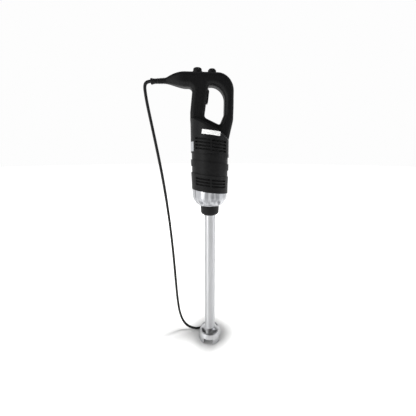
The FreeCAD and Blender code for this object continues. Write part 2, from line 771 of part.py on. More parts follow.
def cavity_form():
    """The hollow inside the shells: the barrel bore and the rooms of the handle."""
    bore = turned("bore_room", [(0, -10), (dim.barrel_bore, -10), (dim.barrel_bore, 240), (0, 240)])
    roof = dim.shoulder_level - dim.shoulder_wall

    def above_roof(sketch):
        draw_loop(sketch, [(-70, roof + 70 * shoulder_slope), (70, roof - 70 * shoulder_slope),
                           (70, 300), (-70, 300)])

    pocket_both_ways(bore, "roof_cut", above_roof)
    half = dim.room_half
    back = -dim.grip_back + 6.3
    grip = slab("grip_room", [(back, 190), (back, 216), (back + 6.5, 270), (back + 6.5, dim.room_floor + 1),
                              (-9, dim.room_floor + 1), (-9, 277), (-18.9, 212), (-18.9, 188)], half)
    bar = slab("bar_room", [(0.5 - dim.nose_join, dim.room_floor), (32, dim.room_floor),
                            (32, dim.room_roof - 1.5), (26, dim.room_roof), (0.5 - dim.nose_join, dim.room_roof)],
               half)
    inner = dim.hole_front + 5.8
    outer = dim.fore_reach - 5.7
    fore = slab("fore_room", [(37.5, 160), (40, 168), (outer, 206), (outer, 266), (outer - 6, 282),
                              (31, 297), (26, 297), (26, dim.room_floor + 2), (35, 272),
                              (inner, 258), (inner, 212), (34, 190), (33, 165)], half)
    floor = slab("floor_room", [(-20, 188), (-20, 203), (11, dim.hole_floor + 1.5), (16, dim.hole_floor - 4),
                                (17, 172), (0, 180)], half)
    nose = box("nose_room", (-dim.nose_tip + 10.8, -6.8, dim.nose_centre - 5.6),
               (1 - dim.nose_join, 6.8, dim.nose_centre + 6.9))
    return [bore, grip, bar, fore, floor, nose]


SHELL_SCREWS = [(-30, 208), (45, 221), (40, 283), (-51, 292), (1, 187)]


def make_housing():
    """Two moulded shells split on the handle's middle plane, from one hollow form."""
    dial_boss = cylinder("dial_boss", dim.dial_boss_radius, dim.boss_height + 6, dim.dial_place, 0,
                         dim.bar_top - 6)
    button_boss = cylinder("button_boss", dim.button_boss_radius, dim.button_boss_height + 6,
                           dim.button_place, 0, dim.bar_top - 6)
    form = join_in_turn("housing_form", [barrel_form(), handle_form(), dial_boss, button_boss, nose_form()])

    posts = [rod("screw_post_%d" % spot, 4.6, 32, x, -16, z) for spot, (x, z) in enumerate(SHELL_SCREWS)]
    for spot, (x, y) in enumerate(flange_screw_spots()):
        posts.append(cylinder("skirt_post_%d" % spot, dim.flange_post_radius, 17, x, y,
                              dim.flange_height + dim.thread_gap))
    inside_posts = common("posts_inside", fuse("posts", posts), form)
    hollow = cut_in_turn("housing_hollow", form, cavity_form())
    walled = join_in_turn("housing_walled", [hollow, inside_posts])

    # two belts round the barrel and the rows of vents, all on the sloping styling line
    belts = [tilted_slab("belt_%d" % spot, 70, -70, 70, level + dim.groove_height / 2, dim.groove_height)
             for spot, level in enumerate((dim.groove_one, dim.groove_two))]
    belt_skin = ring("belt_skin", 70, dim.belly_radius - dim.groove_depth, 200, 20)
    belt_tool = common("belt_tool", belt_skin, fuse("belts", belts))

    slots = []
    for side in (-1, 1):
        for rows, level in ((3, dim.lower_vent), (4, dim.upper_vent)):
            for row in range(rows):
                name = "vent_%d_%d_%d" % (side + 1, rows, row)
                slots.append(tilted_slab(name, dim.vent_reach, side * 40 - 25, side * 40 + 25,
                                         level + row * dim.vent_pitch, dim.vent_height))
    rib_keep = box("vent_rib_keep", (-dim.vent_rib / 2, -80, 0), (dim.vent_rib / 2, 80, 200))
    vents = cut("vents", fuse("vent_slots", slots), rib_keep)

    dial_hole = cylinder("dial_hole", dim.dial_shaft_radius + 0.4, 30, dim.dial_place, 0,
                         dim.room_roof - 5)
    button_hole = cylinder("button_hole", dim.button_radius + dim.button_gap, 30, dim.button_place, 0,
                           dim.button_floor)
    stem_hole = cylinder("stem_hole", dim.button_stem + dim.button_gap, 30, dim.button_place, 0,
                         dim.room_roof - 5)
    slot_half = dim.trigger_half + dim.trigger_gap
    trigger_slot = box("trigger_slot", (-16.5, -slot_half, dim.pivot_level - 5.5),
                       (4, slot_half, dim.pivot_level + 28.8))
    outlet = cylinder("outlet", dim.boot_neck_radius, 20)
    outlet.Placement = boot_frame(-14)
    pin_way = rod("pin_way", dim.pivot_radius, dim.room_half * 2, dim.pivot_x, -dim.room_half, dim.pivot_level)
    screw_holes = []
    for spot, (x, z) in enumerate(SHELL_SCREWS):
        screw_holes.append(rod("shell_hole_%d" % spot, 1.8, 40, x, -10, z))
        screw_holes.append(rod("shell_sink_%d" % spot, 3.9, 40, x, 10, z))
    for spot, (x, y) in enumerate(flange_screw_spots()):
        screw_holes.append(cylinder("skirt_hole_%d" % spot, dim.flange_screw_radius, 30, x, y, 40))
    openings = [belt_tool, vents, dial_hole, button_hole, stem_hole, trigger_slot, pin_way, outlet]
    finished = cut_in_turn("housing", walled, openings + screw_holes)
    front_side = box("front_side", (-160, -90, -60), (120, 0, 340))
    back_side = box("back_side", (-160, 0, -60), (120, 90, 340))
    in_head("front_shell", common("front_half", finished, front_side))
    in_head("rear_shell", common("rear_half", finished, back_side))


def make_shell_screws():
    screws = []
    for spot, (x, z) in enumerate(SHELL_SCREWS):
        head = rod("ss_head_%d" % spot, 3.6, 2.8, x, 10, z)
        shank = rod("ss_shank_%d" % spot, 1.75, 19, x, -9, z)
        screws.append(fuse("shell_screw_%d" % spot, [head, shank]))
    in_head("shell_screws", group("shell_screw_set", screws))


def make_badges():
    """A blank raised strip on the front and a blank foil label on the side of the barrel."""
    strip = ring("strip_skin", dim.barrel_radius + dim.badge_thick, dim.barrel_radius, 60, 140)
    window = tilted_slab("strip_window", dim.badge_half, -80, 0, dim.badge_level, dim.badge_height)
    in_head("name_badge", common("badge", strip, window))
    foil = ring("label_skin", dim.barrel_radius + dim.label_thick, dim.barrel_radius, 60, 120)
    patch = box("label_window", (-80, -60, dim.label_level), (-dim.label_edge, 60, dim.label_level + dim.label_height))
    in_head("rating_label", common("label", foil, patch))


# ---- motor ----

def make_bearings():
    in_head("lower_bearing", ring("bearing_low", dim.lower_bearing_radius, dim.rotor_shaft_radius,
                                  dim.lower_bearing_height, dim.bearing_seat))
    in_head("upper_bearing", ring("bearing_top", dim.upper_bearing_radius, dim.rotor_top_radius,
                                  dim.upper_bearing_height, dim.bracket_level + 3))


def make_rotor():
    top = dim.bracket_level + dim.bracket_seat
    dog_top = -dim.dog_top_gap
    dog_base = dog_top - dim.drive_dog_length
    slot_roof = -dim.head_drop + dim.head_flange + 0.5 + dim.dog_base + dim.tongue_height + 0.5
    shaft = turned("rotor_shaft", [
        (0, slot_roof + 0.5), (dim.rotor_shaft_radius - 1.5, slot_roof + 0.5),
        (dim.rotor_shaft_radius - 1.5, dog_top), (dim.rotor_shaft_radius, dog_top),
        (dim.rotor_shaft_radius, dim.bracket_level - 1), (dim.rotor_top_radius, dim.bracket_level - 1),
        (dim.rotor_top_radius, top), (0, top)])
    in_head("armature_shaft", shaft)

    disc = cylinder("drive_disc", dim.drive_dog_radius, dim.drive_dog_length, z=dog_base)
    half = dim.tongue_thick / 2 + dim.tongue_gap
    slot = box("drive_slot", (-20, -half, dog_base - 5), (20, half, slot_roof))
    bore = cylinder("drive_bore", dim.rotor_shaft_radius - 1.5, 20, z=slot_roof + 0.5)
    in_head("drive_dog", cut("drive_dog_cut", disc, fuse("drive_tools", [slot, bore])))

    core = cylinder("core_blank", dim.rotor_radius, dim.core_height, z=dim.core_bottom)
    bars = []
    holes = [cylinder("core_bore", dim.rotor_shaft_radius, 80, z=dim.core_bottom - 10)]
    count = int(dim.slots.value)
    for spot in range(count):
        angle = math.radians(360 * spot / count)
        x = dim.slot_circle * math.cos(angle)
        y = dim.slot_circle * math.sin(angle)
        holes.append(cylinder("core_slot_%d" % spot, dim.slot_radius, 80, x, y, dim.core_bottom - 10))
        bars.append(cylinder("copper_%d" % spot, dim.slot_radius, dim.core_height + 4, x, y,
                             dim.core_bottom - 2))
    in_head("armature_core", cut("core_cut", core, fuse("core_holes", holes)))
    for name, base in (("low_end", dim.core_bottom - dim.winding_height),
                       ("top_end", dim.core_bottom + dim.core_height)):
        bars.append(turned(name, [
            (dim.rotor_shaft_radius + 0.5, base), (dim.winding_radius - 4, base),
            (dim.winding_radius, base + 3), (dim.winding_radius, base + dim.winding_height - 3),
            (dim.winding_radius - 1, base + dim.winding_height),
            (dim.rotor_shaft_radius + 0.5, base + dim.winding_height)]))
    in_head("armature_windings", fuse("windings", bars))

    commutator = turned("commutator_body", [
        (dim.rotor_shaft_radius, dim.commutator_bottom), (dim.commutator_radius + 2, dim.commutator_bottom),
        (dim.commutator_radius + 2, dim.commutator_bottom + 1.6),
        (dim.commutator_radius, dim.commutator_bottom + 1.6),
        (dim.commutator_radius, dim.commutator_bottom + dim.commutator_height),
        (dim.rotor_shaft_radius, dim.commutator_bottom + dim.commutator_height)])

    def saw_cut(sketch):
        draw_loop(sketch, [(dim.commutator_radius - 1, -0.25), (dim.commutator_radius + 4, -0.25),
                           (dim.commutator_radius + 4, 0.25), (dim.commutator_radius - 1, 0.25)])

    first = pocket_one_way(commutator, "segment_cut", saw_cut, "XY_Plane", dim.commutator_bottom - 1,
                           dim.commutator_height + 2, True)
    repeat_round(commutator, "segment_cuts", first, 24)
    in_head("commutator", commutator)

    hub = cylinder("fan_hub", dim.rotor_shaft_radius + 4, dim.fan_height, z=dim.fan_bottom)
    disc = cylinder("fan_plate", dim.fan_radius, dim.fan_disc, z=dim.fan_bottom)
    pieces = [hub, disc]
    blades = int(dim.fan_blades.value)
    for spot in range(blades):
        vane = box("fan_vane_%d" % spot, (dim.rotor_shaft_radius + 2, -0.7, dim.fan_bottom),
                   (dim.fan_radius - 0.5, 0.7, dim.fan_bottom + dim.fan_height))
        angle = math.radians(360 * spot / blades)
        start = plain(dim.rotor_shaft_radius + 2)
        vane.Placement.Rotation = FreeCAD.Rotation(V(0, 0, 1), 360 * spot / blades)
        bind(vane, "Placement.Base.x", start * math.cos(angle) + 0.7 * math.sin(angle))
        bind(vane, "Placement.Base.y", start * math.sin(angle) - 0.7 * math.cos(angle))
        pieces.append(vane)
    fan_bore = cylinder("fan_bore", dim.rotor_shaft_radius, 40, z=dim.fan_bottom - 10)
    in_head("cooling_fan", cut("fan_cut", fuse("fan_blank", pieces), fan_bore))


def make_stator():
    base = dim.core_bottom
    top = base + dim.core_height
    blank = cylinder("stator_blank", dim.barrel_bore - 0.1, dim.core_height, z=base)
    flats = [box("stator_flat_%d" % (side + 1), (side * (dim.stator_flat + 20) - 20, -60, base - 5),
                 (side * (dim.stator_flat + 20) + 20, 60, top + 5)) for side in (-1, 1)]
    bore = cylinder("stator_tunnel", dim.rotor_radius + dim.air_gap, 100, z=base - 20)
    windows = common("stator_windows", cylinder("stator_ring_bore", dim.stator_bore, 100, z=base - 20),
                     box("pole_gap", (-60, -dim.pole_half, 0), (60, dim.pole_half, 250)))
    in_head("stator_core", cut("stator_cut", blank, fuse("stator_tools", flats + [bore, windows])))

    coils = []
    for side in (-1, 1):
        tag = str(side + 1)
        loop = ring("coil_ring_" + tag, dim.coil_outer, dim.coil_inner,
                    dim.core_height + dim.coil_overhang * 2, base - dim.coil_overhang)
        near = 1.5 if side > 0 else -40
        far = 40 if side > 0 else -1.5
        half = common("coil_half_" + tag, loop, box("coil_side_" + tag, (-60, near, 0), (60, far, 250)))
        low = dim.pole_half - 0.3 if side > 0 else -60
        high = 60 if side > 0 else 0.3 - dim.pole_half
        pole = box("coil_pole_" + tag, (-60, low, base - 0.5), (60, high, top + 0.5))
        coils.append(cut("coil_" + tag, half, pole))
    in_head("field_coils", group("coil_pair", coils))


def make_bracket():
    """Bridge above the commutator that carries the upper bearing and the brush gear."""
    level = dim.bracket_level
    reach = dim.barrel_bore - 0.4
    bar = box("bracket_bar", (-reach, -9, level), (reach, 9, level + dim.bracket_thick))
    cheeks = box("bracket_cheeks", (-7, -30, level - 5), (7, 30, level + 2))
    boss = cylinder("bracket_boss", dim.bracket_boss, dim.bracket_seat, z=level)
    rounding = cylinder("bracket_limit", reach, 60, z=level - 20)
    blank = common("bracket_blank", fuse("bracket_solid", [bar, cheeks, boss]), rounding)
    holes = [cylinder("bracket_bore", dim.commutator_radius + 3, 6 + 20, z=level - 20 - 5),
             cylinder("bracket_seat_bore", dim.upper_bearing_radius, 40, z=level + 3),
             cylinder("bracket_lip", dim.rotor_top_radius + 4, 60, z=level - 20)]
    for side in (-1, 1):
        holes.append(cylinder("bracket_bolt_%d" % (side + 1), dim.bolt_radius, 30,
                              side * dim.bolt_place, 0, level - 10))
    in_head("bearing_bracket", cut("bracket_cut", blank, fuse("bracket_holes", holes)))
    bolts = []
    for side in (-1, 1):
        x = side * dim.bolt_place
        shank = cylinder("mb_shank_%d" % (side + 1), dim.bolt_radius, level + dim.bracket_thick - 32, x, 0, 32)
        head = cylinder("mb_head_%d" % (side + 1), dim.bolt_radius + 1.5, 3, x, 0, level + dim.bracket_thick)
        bolts.append(fuse("motor_bolt_%d" % (side + 1), [shank, head]))
    in_head("motor_bolts", group("motor_bolt_pair", bolts))


def make_brushes():
    level = dim.brush_level
    wide = dim.brush_wide / 2
    tall = dim.brush_tall / 2
    outer_wide = wide + dim.holder_wall
    outer_tall = tall + dim.holder_wall
    start = dim.commutator_radius + 0.1
    brushes = []
    holders = []
    springs = []
    for side in (-1, 1):
        tag = str(side + 1)

        def span(low, high):
            return (low, high) if side > 0 else (-high, -low)

        near, far = span(start, start + dim.brush_length)
        brushes.append(box("brush_" + tag, (-wide, near, level - tall), (wide, far, level + tall)))
        near, far = span(start + 3, start + 3 + dim.holder_length)
        tube = box("holder_tube_" + tag, (-outer_wide, near, level - outer_tall),
                   (outer_wide, far, level + outer_tall))
        near, far = span(start - 5, start + 1.6 + dim.holder_length)
        hollow = box("holder_way_" + tag, (-wide, near, level - tall), (wide, far, level + tall))
        holders.append(cut("holder_" + tag, tube, hollow))
        length = plain(dim.holder_length + 1.6 - dim.brush_length)
        spring = coil_spring("brush_coil_" + tag, 2.2, 0.35, 6, length)
        spring.Placement = FreeCAD.Placement(
            V(0, side * plain(start + dim.brush_length + 0.35), plain(level)),
            FreeCAD.Rotation(V(1, 0, 0), -90 * side))
        springs.append(spring)
    in_head("carbon_brushes", group("brush_pair", brushes))
    in_head("brush_holders", group("holder_pair", holders))
    in_head("brush_springs", group("spring_pair", springs))


# ---- handle fittings ----

def make_controls():
    top = dim.bar_top
    dial_low = top + dim.boss_height + dim.dial_gap
    dial = turned("dial_turned", [
        (dim.dial_shaft_radius, dial_low), (dim.dial_radius, dial_low), (dim.dial_radius - 0.2, dial_low + 2.4),
        (dim.dial_radius - 1.6, dial_low + 4.7), (dim.dial_radius - 4.5, dial_low + dim.dial_height - 0.5),
        (0, dial_low + dim.dial_height), (0, dial_low + 3.2), (dim.dial_shaft_radius, dial_low + 3.2)])

    def grip_flute(sketch):
        draw_circle(sketch, dim.dial_radius + 0.6, 0, 1.1)

    first = pocket_one_way(dial, "dial_flute", grip_flute, "XY_Plane", dial_low - 1, dim.dial_height + 2, True)
    repeat_round(dial, "dial_flutes", first, 18)
    bind(dial, "Placement.Base.x", dim.dial_place)
    in_head("speed_dial", dial)

    board_top = dim.room_floor + 3.6
    in_head("speed_control_board", box("board", (-40, -11, board_top - 1.6), (28, 11, board_top)))
    pot = cylinder("pot_can", 8, 8, dim.dial_place, 0, board_top)
    pot_bore = cylinder("pot_bore", dim.dial_shaft_radius + dim.running_gap, 20, dim.dial_place, 0,
                        board_top + 2)
    in_head("potentiometer", cut("pot_cut", pot, pot_bore))
    in_head("dial_shaft", cylinder("dial_spindle", dim.dial_shaft_radius, dial_low + 3.2 - board_top - 2.2,
                                   dim.dial_place, 0, board_top + 2.2))

    cap_low = dim.button_floor + dim.button_travel + 0.7
    cap = cylinder("button_cap", dim.button_radius, dim.button_height, dim.button_place, 0, cap_low)
    stem = cylinder("button_stem", dim.button_stem, cap_low - 297.6 + 1, dim.button_place, 0, 297.6)
    in_head("lock_button", fuse("button_whole", [cap, stem]))
    spring = coil_spring("button_coil", 4.3, 0.35, 2, plain(cap_low - dim.button_floor))
    spring.Placement = FreeCAD.Placement(V(dim.button_place.value, 0, dim.button_floor.value + 0.35),
                                         FreeCAD.Rotation())
    in_head("lock_button_spring", group("button_spring", [spring]))
    in_head("safety_switch", box("switch_case", (-5, -3.2, board_top), (15, 3.2, 294.4)))


def make_trigger():
    low = dim.pivot_level - 3
    high = dim.pivot_level + 27
    body = slab("trigger_plate", [
        (-5.4, low), (-4.3, low + 4), (-1.6, high - 4), (-3, high), (-12.9, high), (-16.4, low)],
        dim.trigger_half)

    def pin_hole(sketch):
        draw_circle(sketch, dim.pivot_x, dim.pivot_level, dim.pivot_radius + dim.running_gap)

    pocket_both_ways(body, "pin_hole", pin_hole)
    in_head("trigger", body)
    in_head("trigger_pin", rod("trigger_axle", dim.pivot_radius, dim.room_half * 2, dim.pivot_x,
                               -dim.room_half, dim.pivot_level))
    case = box("micro_case", (-34, -8, 240), (-21.5, 8, 270))
    plunger = box("micro_plunger", (-22, -1.5, 249), (-18.6, 1.5, 252))
    in_head("trigger_switch", fuse("micro_switch", [case, plunger]))
    spring = coil_spring("trigger_coil", 2.8, 0.4, 5, 6.6)
    spring.Placement = FreeCAD.Placement(V(-21.1, 0, 263), FreeCAD.Rotation(V(0, 1, 0), 90))
    in_head("trigger_spring", group("trigger_return", [spring]))
    in_head("suppression_capacitor", box("capacitor", (40.5, -9, 229), (49, 9, 252)))


def boot_frame(start):
    """A frame on the outlet's axis, which droops a little away from the nose's tip."""
    droop = dim.boot_droop.value
    turn = FreeCAD.Rotation(V(0, 1, 0), -90 - droop)
    along = turn.multVec(V(0, 0, 1))
    origin = V(-dim.nose_tip.value, 0, dim.nose_centre.value)
    return FreeCAD.Placement(origin + along * start, turn)


def make_lead_entry():
    """Moulded boot, the lead inside it, the clamp that takes its pull and the terminals."""
    inner = -dim.boot_neck - dim.boot_flange
    boot = turned("boot_turned", [
        (dim.cord_radius, inner), (dim.boot_flange_radius, inner), (dim.boot_flange_radius, -dim.boot_neck),
        (dim.boot_neck_radius, -dim.boot_neck), (dim.boot_neck_radius, 0), (dim.boot_root, 0),
        (dim.boot_waist, dim.boot_length - 12), (dim.boot_waist, dim.boot_length - 8),
        (dim.boot_end, dim.boot_length - 3), (dim.boot_end, dim.boot_length - 1),
        (dim.boot_end - 1, dim.boot_length), (dim.cord_radius, dim.boot_length)])
    frame = boot_frame(0)
    frame.Base.z += motor_level.value
    boot.Placement = frame
    sub_part("strain_relief_boot", boot, dim.nose_centre + motor_level)
    lead = cylinder("lead_stub", dim.cord_radius, dim.boot_length + 24)
    lead_frame = boot_frame(-24)
    lead_frame.Base.z += motor_level.value
    lead.Placement = lead_frame
    sub_part("inner_lead", lead)

    centre = dim.nose_centre
    saddle = box("saddle", (-82, -6.6, centre + 4.8), (-77, 6.6, centre + 6.6))
    screws = []
    holes = []
    for side in (-1, 1):
        screws.append(cylinder("clamp_screw_%d" % (side + 1), 1.1, 12.4, -79.5, side * 5.2, centre - 5.6))
        holes.append(cylinder("clamp_hole_%d" % (side + 1), 1.15, 4, -79.5, side * 5.2, centre + 4))
    in_head("cord_clamp", cut("saddle_drilled", saddle, fuse("clamp_holes", holes)))
    in_head("clamp_screws", group("clamp_screw_pair", screws))
    block = box("terminal_case", (-73, -6.4, centre - 5), (-60.5, 6.4, centre + 4))
    ways = [rod("terminal_way_%d" % spot, 1.6, 30, -80, spot * 4.1 - 4.1, centre, "x") for spot in range(3)]
    in_head("terminal_block", cut("terminals", block, fuse("terminal_ways", ways)))


# ---- the free lead ----

def boot_mouth():
    frame = boot_frame(dim.boot_length.value)
    return frame.Base + V(0, 0, motor_level.value)


def make_cord():
    """The lead hangs from the boot, lands behind the guard and runs into the hank's cut corner."""
    turn = FreeCAD.Rotation(V(0, 0, 1), dim.hank_turn.value)
    inset = dim.hank_corner.value / 2
    entry = turn.multVec(V(inset - dim.hank_half.value, dim.hank_start.value + inset, 3.7))
    landing = entry - turn.multVec(V(1, 1, 0).normalize()) * 35
    route = [boot_mouth()] + [V(*spot) for spot in [
        (-142, 0, 707.3), (-148.3, 0.2, 700), (-147.9, 0.6, 684), (-144.8, 1.5, 657), (-138.5, 3, 617),
        (-129.5, 6, 558), (-118.5, 10, 478), (-109.5, 14, 384), (-103.5, 18, 288), (-100, 21, 196),
        (-97.5, 24, 122), (-92.5, 27, 66), (-80, 29, 27), (-59, 29, 7)]] + [landing, entry]
    edges = []
    previous = route[0]
    for before, corner, after in zip(route, route[1:], route[2:]):
        arriving = (corner - before)
        leaving = (after - corner)
        run = min(arriving.Length, leaving.Length)
        arriving.normalize()
        leaving.normalize()
        turn_angle = arriving.getAngle(leaving)
        radius = 0.45 * run / math.tan(turn_angle / 2)
        print("cord bend at %.0f %.0f %.0f: radius %.1f" % (corner.x, corner.y, corner.z, radius))
        reach = 0.45 * run
        bend_start = corner - arriving * reach
        bend_end = corner + leaving * reach
        inward = leaving - arriving
        inward.normalize()
        centre = corner + inward * (radius / math.cos(turn_angle / 2))
        middle = centre - inward * radius
        edges.append(Part.LineSegment(previous, bend_start).toShape())
        edges.append(Part.Arc(bend_start, middle, bend_end).toShape())
        previous = bend_end
    edges.append(Part.LineSegment(previous, route[-1]).toShape())
    path = Part.Wire(edges)
    first_way = (route[1] - route[0]).normalize()
    circle = Part.Circle(route[0], first_way, dim.cord_radius.value).toShape()
    tube = path.makePipeShell([Part.Wire([circle])], True, False)
    area = math.pi * dim.cord_radius.value ** 2
    print("cord tube %.1f long, volume %.0f against %.0f" % (path.Length, tube.Volume, area * path.Length))
    cord = doc.addObject("Part::Feature", "lead_tube")
    cord.Shape = tube
    cord.Placement = FreeCAD.Placement()
    sub_part("power_cord", cord)


def make_hank():
    """The rest of the lead, folded to and fro and tied, with its plug turned back onto it."""
    low = dim.tie_thick
    high = low + dim.hank_height
    near = dim.hank_start
    far = near + dim.hank_length
    half = dim.hank_half
    centre = (near + far) / 2
    corner = dim.hank_corner.value
    block = box("hank_block", (-half, near, low), (half, far, high))
    wedge = box("hank_wedge", (0, 0, 0), (corner * 3, corner * 2, dim.hank_height.value))
    slant = FreeCAD.Rotation(V(0, 0, 1), -45)
    middle = V(corner / 2 - half.value, near.value + corner / 2, low.value)
    wedge.Placement = FreeCAD.Placement(middle - slant.multVec(V(corner * 1.5, corner * 2, 0)), slant)
    axis = high + dim.plug_radius
    loop = doc.addObject("Part::Torus", "plug_loop")
    bind(loop, "Radius1", dim.plug_loop)
    bind(loop, "Radius2", dim.cord_radius)
    bind(loop, "Angle3", 180)
    place(loop, 0, far, axis - dim.plug_loop)
    loop.Placement.Rotation = FreeCAD.Rotation(V(0, 1, 0), 90)
    hank = join_in_turn("hank_whole", [cut("hank_folds", block, wedge), loop])
    band = box("tie_band", (-half - dim.tie_thick, centre - dim.tie_width / 2, 0),
               (half + dim.tie_thick, centre + dim.tie_width / 2, high + dim.tie_thick))
    tie = cut("tie_cut", band, box("tie_way", (-half, near, low), (half, far, high)))
    face = far - dim.plug_taper - dim.plug_grip
    grip = rod("plug_grip", dim.plug_radius, dim.plug_grip, 0, face, axis)
    neck = doc.addObject("Part::Cone", "plug_neck")
    bind(neck, "Radius1", dim.plug_neck)
    bind(neck, "Radius2", dim.plug_radius)
    bind(neck, "Height", dim.plug_taper)
    place(neck, 0, far, axis)
    neck.Placement.Rotation = FreeCAD.Rotation(V(1, 0, 0), 90)
    plug = fuse("plug_whole", [grip, neck])
    pins = [rod("plug_pin_%d" % (side + 1), dim.pin_radius, dim.pin_length, side * dim.pin_spacing / 2,
                face - dim.pin_length, axis) for side in (-1, 1)]
    turn = FreeCAD.Rotation(V(0, 0, 1), dim.hank_turn.value)
    for name, thing in (("cord_hank", group("hank", [hank])), ("hank_tie", tie), ("plug_body", plug),
                        ("plug_pins", group("pins", pins))):
        thing.Placement = FreeCAD.Placement(V(0, 0, 0), turn)
        sub_part(name, thing)


def main():
    make_guard()
    make_shaft()
    make_tube_head()
    make_collar()
    make_blade()
    make_drive_shaft()
    make_flange()
    make_flange_screws()
    make_housing()
    make_shell_screws()
    make_badges()
    make_bearings()
    make_rotor()
    make_stator()
    make_bracket()
    make_brushes()
    make_controls()
    make_trigger()
    make_lead_entry()
    make_cord()
    make_hank()
    doc.recompute()
    for thing in doc.Objects:
        if "Invalid" in thing.State or "Error" in thing.State:
            raise RuntimeError("%s failed: %s" % (thing.Label, thing.State))
    for name, thing in nodes.items():
        if thing.Shape.isNull() or not thing.Shape.isValid() or thing.Shape.Volume <= 0:
            raise RuntimeError("%s has no valid solid" % name)
    os.makedirs("parts", exist_ok=True)
    for name, thing in nodes.items():
        thing.Shape.exportStep("parts/%s.step" % name)
        span = thing.Shape.optimalBoundingBox()
        print("%-22s solids %2d volume %9.0f  x %7.1f %7.1f  y %7.1f %7.1f  z %7.1f %7.1f" % (
            name, len(thing.Shape.Solids), thing.Shape.Volume, span.XMin, span.XMax, span.YMin, span.YMax,
            span.ZMin, span.ZMax))


main()
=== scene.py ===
import math

import bpy
from mathutils import Matrix, Vector


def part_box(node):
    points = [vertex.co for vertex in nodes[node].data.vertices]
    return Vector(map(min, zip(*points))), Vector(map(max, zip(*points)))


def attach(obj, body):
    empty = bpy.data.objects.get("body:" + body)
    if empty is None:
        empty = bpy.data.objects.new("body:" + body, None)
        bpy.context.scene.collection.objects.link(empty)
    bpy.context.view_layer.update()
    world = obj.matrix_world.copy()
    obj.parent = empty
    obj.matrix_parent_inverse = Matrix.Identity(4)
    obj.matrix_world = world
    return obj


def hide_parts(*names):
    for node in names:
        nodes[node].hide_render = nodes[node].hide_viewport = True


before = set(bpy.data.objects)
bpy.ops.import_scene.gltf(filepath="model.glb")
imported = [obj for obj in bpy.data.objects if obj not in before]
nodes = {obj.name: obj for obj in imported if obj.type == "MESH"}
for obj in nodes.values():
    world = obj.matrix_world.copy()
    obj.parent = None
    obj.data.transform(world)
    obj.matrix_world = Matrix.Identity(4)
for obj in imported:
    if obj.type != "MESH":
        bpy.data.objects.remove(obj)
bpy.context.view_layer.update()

# Hand-held stick blender for a professional kitchen, on the floor of a small studio.
# Metres. +Z runs up the shaft, the finger hole opens along Y, the lead leaves towards -X.


# ---- camera ----
# A wide lens stands close in front of the object at chest height and looks a little down.
bpy.ops.object.camera_add(location=(-0.0377, -0.5387, 0.545),
                          rotation=(math.radians(76), 0, math.radians(-4)))
camera = bpy.context.object
camera.name = "studio_camera"
camera.data.lens = 18.2
camera.data.sensor_width = 36
camera.data.shift_x = -0.0043
camera.data.clip_start = 0.01
bpy.context.scene.camera = camera


# ---- floor and light ----
# A pale matt floor that glows more and more from 0.2 m out, so it shows no horizon. Soft boxes
# stand left, right, above and behind. A small lamp overhead gives the shadow, without glints.
def linear(code):
    """An sRGB hex colour as linear RGBA."""
    parts = [int(code[place:place + 2], 16) / 255 for place in (0, 2, 4)]
    return [part / 12.92 if part <= 0.04045 else ((part + 0.055) / 1.055) ** 2.4 for part in parts] + [1]


def put(tree, kind, sockets=None, **settings):
    """Adds a node, sets its properties, and fills or links its sockets."""
    node = tree.nodes.new("ShaderNode" + kind)
    for name, value in settings.items():
        setattr(node, name, value)
    for name, value in (sockets or {}).items():
        if isinstance(value, bpy.types.NodeSocket):
            tree.links.new(value, node.inputs[name])
        else:
            node.inputs[name].default_value = value
    return node


def finish_of(name, colour, metallic=0.0, roughness=0.5, **more):
    """A new material with its Principled shader, to which a section adds its own pattern."""
    made = bpy.data.materials.new(name)
    made.use_nodes = True
    shader = made.node_tree.nodes["Principled BSDF"]
    shader.inputs["Base Color"].default_value = linear(colour)
    shader.inputs["Metallic"].default_value = metallic
    shader.inputs["Roughness"].default_value = roughness
    for socket, value in more.items():
        shader.inputs[socket.replace("_", " ")].default_value = value
    return made, made.node_tree, shader


def dress(thing, material):
    """Puts one material on every slot of a piece."""
    if not thing.material_slots:
        thing.data.materials.append(material)
    for slot in thing.material_slots:
        slot.material = material


bpy.ops.object.select_all(action="DESELECT")
bpy.ops.mesh.primitive_circle_add(vertices=96, radius=14, fill_type="NGON", location=(0, 0, 0))
floor = bpy.context.object
floor.name = "studio_floor"
floor_paint, tree, shader = finish_of("matt_white_floor", "F0F0EF", roughness=0.75)
shader.inputs["Emission Color"].default_value = linear("FFFFFF")
here = put(tree, "TexCoord").outputs["Object"]
apart = put(tree, "VectorMath", {0: here}, operation="LENGTH")
glow = put(tree, "MapRange", {"Value": apart.outputs["Value"], "From Min": 0.2, "From Max": 1.3,
                              "To Min": 0.0, "To Max": 0.85}, interpolation_type="SMOOTHSTEP")
tree.links.new(glow.outputs[0], shader.inputs["Emission Strength"])
grain = put(tree, "TexNoise", {"Vector": here, "Scale": 40.0})
tree.links.new(put(tree, "MapRange", {"Value": grain.outputs["Fac"], "To Min": 0.72, "To Max": 0.8}).outputs[0],
               shader.inputs["Roughness"])
dress(floor, floor_paint)

